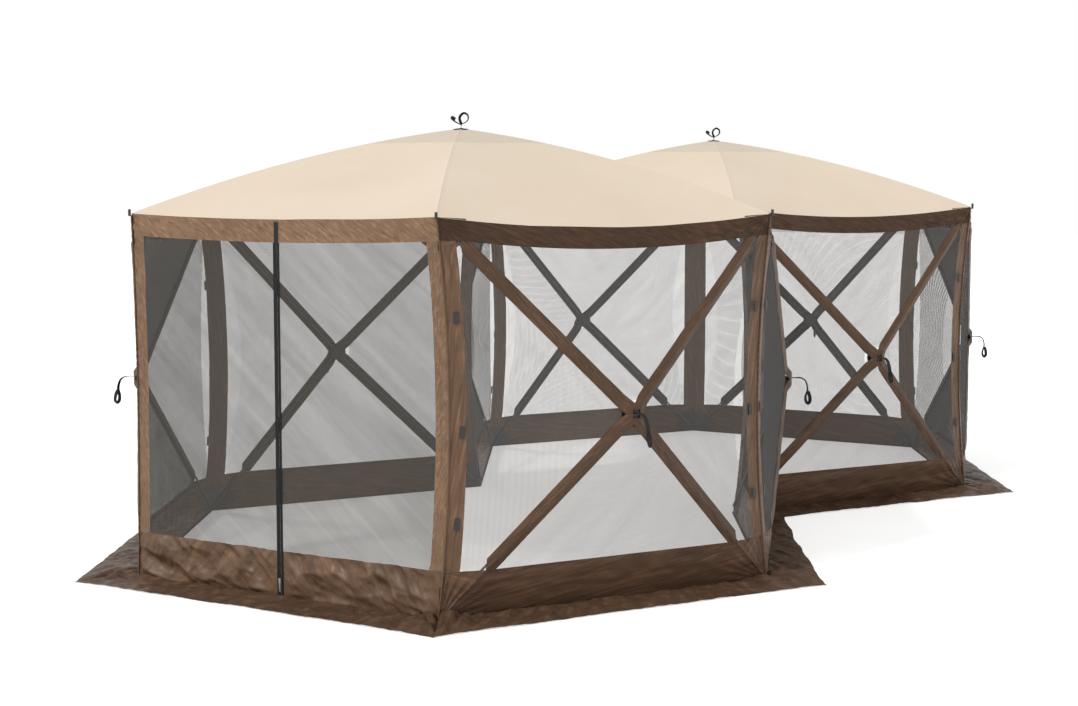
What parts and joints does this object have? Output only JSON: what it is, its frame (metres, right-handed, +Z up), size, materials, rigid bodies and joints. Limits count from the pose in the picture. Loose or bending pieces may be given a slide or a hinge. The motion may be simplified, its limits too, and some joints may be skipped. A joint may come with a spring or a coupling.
{
  "type": "screen house",
  "caption": "Twin hexagonal pop-up screen house: mesh walls braced by hub-and-pole frames, domed canopies, skirts, ground flaps and a zipped door.",
  "frame": {"origin": "on the ground, in the middle of the open side that the two shelters share", "axes": "+X along the line joining the two shelters' centres, away from the zipped door; +Y across; +Z up"},
  "size_m": [7.0219, 4.3656, 2.3875],
  "materials": {
    "screen_mesh": "fine black no-see-um netting, see-through",
    "canopy_cloth": "tan coated polyester, matte, plain weave",
    "brown_cloth": "brown coated polyester with a soft satin sheen",
    "pole": "black pultruded glass-fibre rod with plastic ferrules",
    "hub_plastic": "black moulded nylon with a black webbing pull",
    "zipper_tape": "black woven tape with a nylon coil",
    "slider_metal": "black painted zinc",
    "fittings_plastic": "black plastic and webbing"
  },
  "bodies": {
    "shell": {"skirt_west": "brown_cloth", "skirt_east": "brown_cloth", "eave_band_west": "brown_cloth", "eave_band_east": "brown_cloth", "corner_strips_west": "brown_cloth", "corner_strips_east": "brown_cloth", "pole_sleeves_west": "brown_cloth", "pole_sleeves_east": "brown_cloth", "canopy_west": "canopy_cloth", "canopy_east": "canopy_cloth", "door_leaf_left": "screen_mesh", "door_leaf_right": "screen_mesh", "door_zipper": "zipper_tape", "ground_flaps": "brown_cloth", "black_fittings": "fittings_plastic", "screen_1": "screen_mesh", "screen_2": "screen_mesh", "screen_3": "screen_mesh", "screen_4": "screen_mesh", "screen_5": "screen_mesh", "screen_6": "screen_mesh", "screen_7": "screen_mesh", "screen_8": "screen_mesh", "screen_9": "screen_mesh"},
    "hub_1": {"hub_1": "hub_plastic"},
    "upper_poles_1": {"upper_poles_1": "pole"},
    "lower_poles_1": {"lower_poles_1": "pole"},
    "hub_2": {"hub_2": "hub_plastic"},
    "upper_poles_2": {"upper_poles_2": "pole"},
    "lower_poles_2": {"lower_poles_2": "pole"},
    "hub_3": {"hub_3": "hub_plastic"},
    "upper_poles_3": {"upper_poles_3": "pole"},
    "lower_poles_3": {"lower_poles_3": "pole"},
    "hub_4": {"hub_4": "hub_plastic"},
    "upper_poles_4": {"upper_poles_4": "pole"},
    "lower_poles_4": {"lower_poles_4": "pole"},
    "hub_5": {"hub_5": "hub_plastic"},
    "upper_poles_5": {"upper_poles_5": "pole"},
    "lower_poles_5": {"lower_poles_5": "pole"},
    "hub_6": {"hub_6": "hub_plastic"},
    "upper_poles_6": {"upper_poles_6": "pole"},
    "lower_poles_6": {"lower_poles_6": "pole"},
    "hub_7": {"hub_7": "hub_plastic"},
    "upper_poles_7": {"upper_poles_7": "pole"},
    "lower_poles_7": {"lower_poles_7": "pole"},
    "hub_8": {"hub_8": "hub_plastic"},
    "upper_poles_8": {"upper_poles_8": "pole"},
    "lower_poles_8": {"lower_poles_8": "pole"},
    "hub_9": {"hub_9": "hub_plastic"},
    "upper_poles_9": {"upper_poles_9": "pole"},
    "lower_poles_9": {"lower_poles_9": "pole"},
    "roof_hub_west": {"roof_hub_west": "hub_plastic"},
    "roof_poles_west_1": {"roof_poles_west_1": "pole"},
    "roof_poles_west_2": {"roof_poles_west_2": "pole"},
    "roof_poles_west_3": {"roof_poles_west_3": "pole"},
    "roof_hub_east": {"roof_hub_east": "hub_plastic"},
    "roof_poles_east_1": {"roof_poles_east_1": "pole"},
    "roof_poles_east_2": {"roof_poles_east_2": "pole"},
    "roof_poles_east_3": {"roof_poles_east_3": "pole"},
    "zipper_slider": {"zipper_slider": "slider_metal"}
  },
  "joints": [
    {"name": "hub_1_pop", "type": "slide", "parent": "shell", "child": "hub_1", "axis": [-0.5, -0.866, 0], "range_m": [-0.41, 0], "deforming": ["screen_1", "eave_band_west", "corner_strips_west", "pole_sleeves_west", "skirt_west", "black_fittings"]},
    {"name": "upper_poles_1_swing", "type": "hinge", "parent": "shell", "child": "upper_poles_1", "pos_m": [-2.39722, -1.37711, 1.835], "axis": [0.866, -0.5, 0], "range_deg": [0, 25.44]},
    {"name": "lower_poles_1_swing", "type": "hinge", "parent": "shell", "child": "lower_poles_1", "pos_m": [-2.39722, -1.37711, 0.015], "axis": [0.866, -0.5, 0], "range_deg": [-25.44, 0]},
    {"name": "hub_2_pop", "type": "slide", "parent": "shell", "child": "hub_2", "axis": [0.5, -0.866, 0], "range_m": [-0.41, 0], "deforming": ["screen_2", "eave_band_west", "corner_strips_west", "pole_sleeves_west", "skirt_west", "black_fittings"]},
    {"name": "upper_poles_2_swing", "type": "hinge", "parent": "shell", "child": "upper_poles_2", "pos_m": [-0.80707, -1.37711, 1.835], "axis": [0.866, 0.5, 0], "range_deg": [0, 25.44]},
    {"name": "lower_poles_2_swing", "type": "hinge", "parent": "shell", "child": "lower_poles_2", "pos_m": [-0.80707, -1.37711, 0.015], "axis": [0.866, 0.5, 0], "range_deg": [-25.44, 0]},
    {"name": "hub_3_pop", "type": "slide", "parent": "shell", "child": "hub_3", "axis": [-0.5, -0.866, 0], "range_m": [-0.41, 0], "deforming": ["screen_3", "eave_band_east", "corner_strips_east", "pole_sleeves_east", "skirt_east", "black_fittings"]},
    {"name": "upper_poles_3_swing", "type": "hinge", "parent": "shell", "child": "upper_poles_3", "pos_m": [0.80707, -1.37711, 1.835], "axis": [0.866, -0.5, 0], "range_deg": [0, 25.44]},
    {"name": "lower_poles_3_swing", "type": "hinge", "parent": "shell", "child": "lower_poles_3", "pos_m": [0.80707, -1.37711, 0.015], "axis": [0.866, -0.5, 0], "range_deg": [-25.44, 0]},
    {"name": "hub_4_pop", "type": "slide", "parent": "shell", "child": "hub_4", "axis": [0.5, -0.866, 0], "range_m": [-0.41, 0], "deforming": ["screen_4", "eave_band_east", "corner_strips_east", "pole_sleeves_east", "skirt_east", "black_fittings"]},
    {"name": "upper_poles_4_swing", "type": "hinge", "parent": "shell", "child": "upper_poles_4", "pos_m": [2.39722, -1.37711, 1.835], "axis": [0.866, 0.5, 0], "range_deg": [0, 25.44]},
    {"name": "lower_poles_4_swing", "type": "hinge", "parent": "shell", "child": "lower_poles_4", "pos_m": [2.39722, -1.37711, 0.015], "axis": [0.866, 0.5, 0], "range_deg": [-25.44, 0]},
    {"name": "hub_5_pop", "type": "slide", "parent": "shell", "child": "hub_5", "axis": [1, 0, 0], "range_m": [-0.41, 0], "deforming": ["screen_5", "eave_band_east", "corner_strips_east", "pole_sleeves_east", "skirt_east", "black_fittings"]},
    {"name": "upper_poles_5_swing", "type": "hinge", "parent": "shell", "child": "upper_poles_5", "pos_m": [3.19229, 0, 1.835], "axis": [0, 1, 0], "range_deg": [0, 25.44]},
    {"name": "lower_poles_5_swing", "type": "hinge", "parent": "shell", "child": "lower_poles_5", "pos_m": [3.19229, 0, 0.015], "axis": [0, 1, 0], "range_deg": [-25.44, 0]},
    {"name": "hub_6_pop", "type": "slide", "parent": "shell", "child": "hub_6", "axis": [0.5, 0.866, 0], "range_m": [-0.41, 0], "deforming": ["screen_6", "eave_band_east", "corner_strips_east", "pole_sleeves_east", "skirt_east", "black_fittings"]},
    {"name": "upper_poles_6_swing", "type": "hinge", "parent": "shell", "child": "upper_poles_6", "pos_m": [2.39722, 1.37711, 1.835], "axis": [-0.866, 0.5, 0], "range_deg": [0, 25.44]},
    {"name": "lower_poles_6_swing", "type": "hinge", "parent": "shell", "child": "lower_poles_6", "pos_m": [2.39722, 1.37711, 0.015], "axis": [-0.866, 0.5, 0], "range_deg": [-25.44, 0]},
    {"name": "hub_7_pop", "type": "slide", "parent": "shell", "child": "hub_7", "axis": [-0.5, 0.866, 0], "range_m": [-0.41, 0], "deforming": ["screen_7", "eave_band_east", "corner_strips_east", "pole_sleeves_east", "skirt_east", "black_fittings"]},
    {"name": "upper_poles_7_swing", "type": "hinge", "parent": "shell", "child": "upper_poles_7", "pos_m": [0.80707, 1.37711, 1.835], "axis": [-0.866, -0.5, 0], "range_deg": [0, 25.44]},
    {"name": "lower_poles_7_swing", "type": "hinge", "parent": "shell", "child": "lower_poles_7", "pos_m": [0.80707, 1.37711, 0.015], "axis": [-0.866, -0.5, 0], "range_deg": [-25.44, 0]},
    {"name": "hub_8_pop", "type": "slide", "parent": "shell", "child": "hub_8", "axis": [0.5, 0.866, 0], "range_m": [-0.41, 0], "deforming": ["screen_8", "eave_band_west", "corner_strips_west", "pole_sleeves_west", "skirt_west", "black_fittings"]},
    {"name": "upper_poles_8_swing", "type": "hinge", "parent": "shell", "child": "upper_poles_8", "pos_m": [-0.80707, 1.37711, 1.835], "axis": [-0.866, 0.5, 0], "range_deg": [0, 25.44]},
    {"name": "lower_poles_8_swing", "type": "hinge", "parent": "shell", "child": "lower_poles_8", "pos_m": [-0.80707, 1.37711, 0.015], "axis": [-0.866, 0.5, 0], "range_deg": [-25.44, 0]},
    {"name": "hub_9_pop", "type": "slide", "parent": "shell", "child": "hub_9", "axis": [-0.5, 0.866, 0], "range_m": [-0.41, 0], "deforming": ["screen_9", "eave_band_west", "corner_strips_west", "pole_sleeves_west", "skirt_west", "black_fittings"]},
    {"name": "upper_poles_9_swing", "type": "hinge", "parent": "shell", "child": "upper_poles_9", "pos_m": [-2.39722, 1.37711, 1.835], "axis": [-0.866, -0.5, 0], "range_deg": [0, 25.44]},
    {"name": "lower_poles_9_swing", "type": "hinge", "parent": "shell", "child": "lower_poles_9", "pos_m": [-2.39722, 1.37711, 0.015], "axis": [-0.866, -0.5, 0], "range_deg": [-25.44, 0]},
    {"name": "roof_hub_west_pop", "type": "slide", "parent": "shell", "child": "roof_hub_west", "axis": [0, 0, 1], "range_m": [-0.824, 0], "deforming": ["canopy_west"]},
    {"name": "roof_poles_west_1_swing", "type": "hinge", "parent": "shell", "child": "roof_poles_west_1", "pos_m": [-3.18697, 0, 1.836], "axis": [0, -1, 0], "range_deg": [-29.2, 0]},
    {"name": "roof_poles_west_2_swing", "type": "hinge", "parent": "shell", "child": "roof_poles_west_2", "pos_m": [-0.80973, -1.3725, 1.836], "axis": [0.866, 0.5, 0], "range_deg": [-29.2, 0]},
    {"name": "roof_poles_west_3_swing", "type": "hinge", "parent": "shell", "child": "roof_poles_west_3", "pos_m": [-0.80973, 1.3725, 1.836], "axis": [-0.866, 0.5, 0], "range_deg": [-29.2, 0]},
    {"name": "roof_hub_east_pop", "type": "slide", "parent": "shell", "child": "roof_hub_east", "axis": [0, 0, 1], "range_m": [-0.824, 0], "deforming": ["canopy_east"]},
    {"name": "roof_poles_east_1_swing", "type": "hinge", "parent": "shell", "child": "roof_poles_east_1", "pos_m": [0.80973, -1.3725, 1.836], "axis": [0.866, -0.5, 0], "range_deg": [-29.2, 0]},
    {"name": "roof_poles_east_2_swing", "type": "hinge", "parent": "shell", "child": "roof_poles_east_2", "pos_m": [3.18697, 0, 1.836], "axis": [0, 1, 0], "range_deg": [-29.2, 0]},
    {"name": "roof_poles_east_3_swing", "type": "hinge", "parent": "shell", "child": "roof_poles_east_3", "pos_m": [0.80973, 1.3725, 1.836], "axis": [-0.866, -0.5, 0], "range_deg": [-29.2, 0]},
    {"name": "door_zip", "type": "slide", "parent": "shell", "child": "zipper_slider", "axis": [0, 0, 1], "range_m": [0, 1.6]}
  ],
  "couplings": [
    {"joint": "upper_poles_1_swing", "follows": "hub_1_pop", "rad_per_m": -1.0809},
    {"joint": "lower_poles_1_swing", "follows": "hub_1_pop", "rad_per_m": 1.0809},
    {"joint": "upper_poles_2_swing", "follows": "hub_2_pop", "rad_per_m": -1.0809},
    {"joint": "lower_poles_2_swing", "follows": "hub_2_pop", "rad_per_m": 1.0809},
    {"joint": "upper_poles_3_swing", "follows": "hub_3_pop", "rad_per_m": -1.0809},
    {"joint": "lower_poles_3_swing", "follows": "hub_3_pop", "rad_per_m": 1.0809},
    {"joint": "upper_poles_4_swing", "follows": "hub_4_pop", "rad_per_m": -1.0809},
    {"joint": "lower_poles_4_swing", "follows": "hub_4_pop", "rad_per_m": 1.0809},
    {"joint": "upper_poles_5_swing", "follows": "hub_5_pop", "rad_per_m": -1.0809},
    {"joint": "lower_poles_5_swing", "follows": "hub_5_pop", "rad_per_m": 1.0809},
    {"joint": "upper_poles_6_swing", "follows": "hub_6_pop", "rad_per_m": -1.0809},
    {"joint": "lower_poles_6_swing", "follows": "hub_6_pop", "rad_per_m": 1.0809},
    {"joint": "upper_poles_7_swing", "follows": "hub_7_pop", "rad_per_m": -1.0809},
    {"joint": "lower_poles_7_swing", "follows": "hub_7_pop", "rad_per_m": 1.0809},
    {"joint": "upper_poles_8_swing", "follows": "hub_8_pop", "rad_per_m": -1.0809},
    {"joint": "lower_poles_8_swing", "follows": "hub_8_pop", "rad_per_m": 1.0809},
    {"joint": "upper_poles_9_swing", "follows": "hub_9_pop", "rad_per_m": -1.0809},
    {"joint": "lower_poles_9_swing", "follows": "hub_9_pop", "rad_per_m": 1.0809},
    {"joint": "roof_poles_west_1_swing", "follows": "roof_hub_west_pop", "rad_per_m": 0.61732},
    {"joint": "roof_poles_west_2_swing", "follows": "roof_hub_west_pop", "rad_per_m": 0.61732},
    {"joint": "roof_poles_west_3_swing", "follows": "roof_hub_west_pop", "rad_per_m": 0.61732},
    {"joint": "roof_poles_east_1_swing", "follows": "roof_hub_east_pop", "rad_per_m": 0.61732},
    {"joint": "roof_poles_east_2_swing", "follows": "roof_hub_east_pop", "rad_per_m": 0.61732},
    {"joint": "roof_poles_east_3_swing", "follows": "roof_hub_east_pop", "rad_per_m": 0.61732}
  ]
}
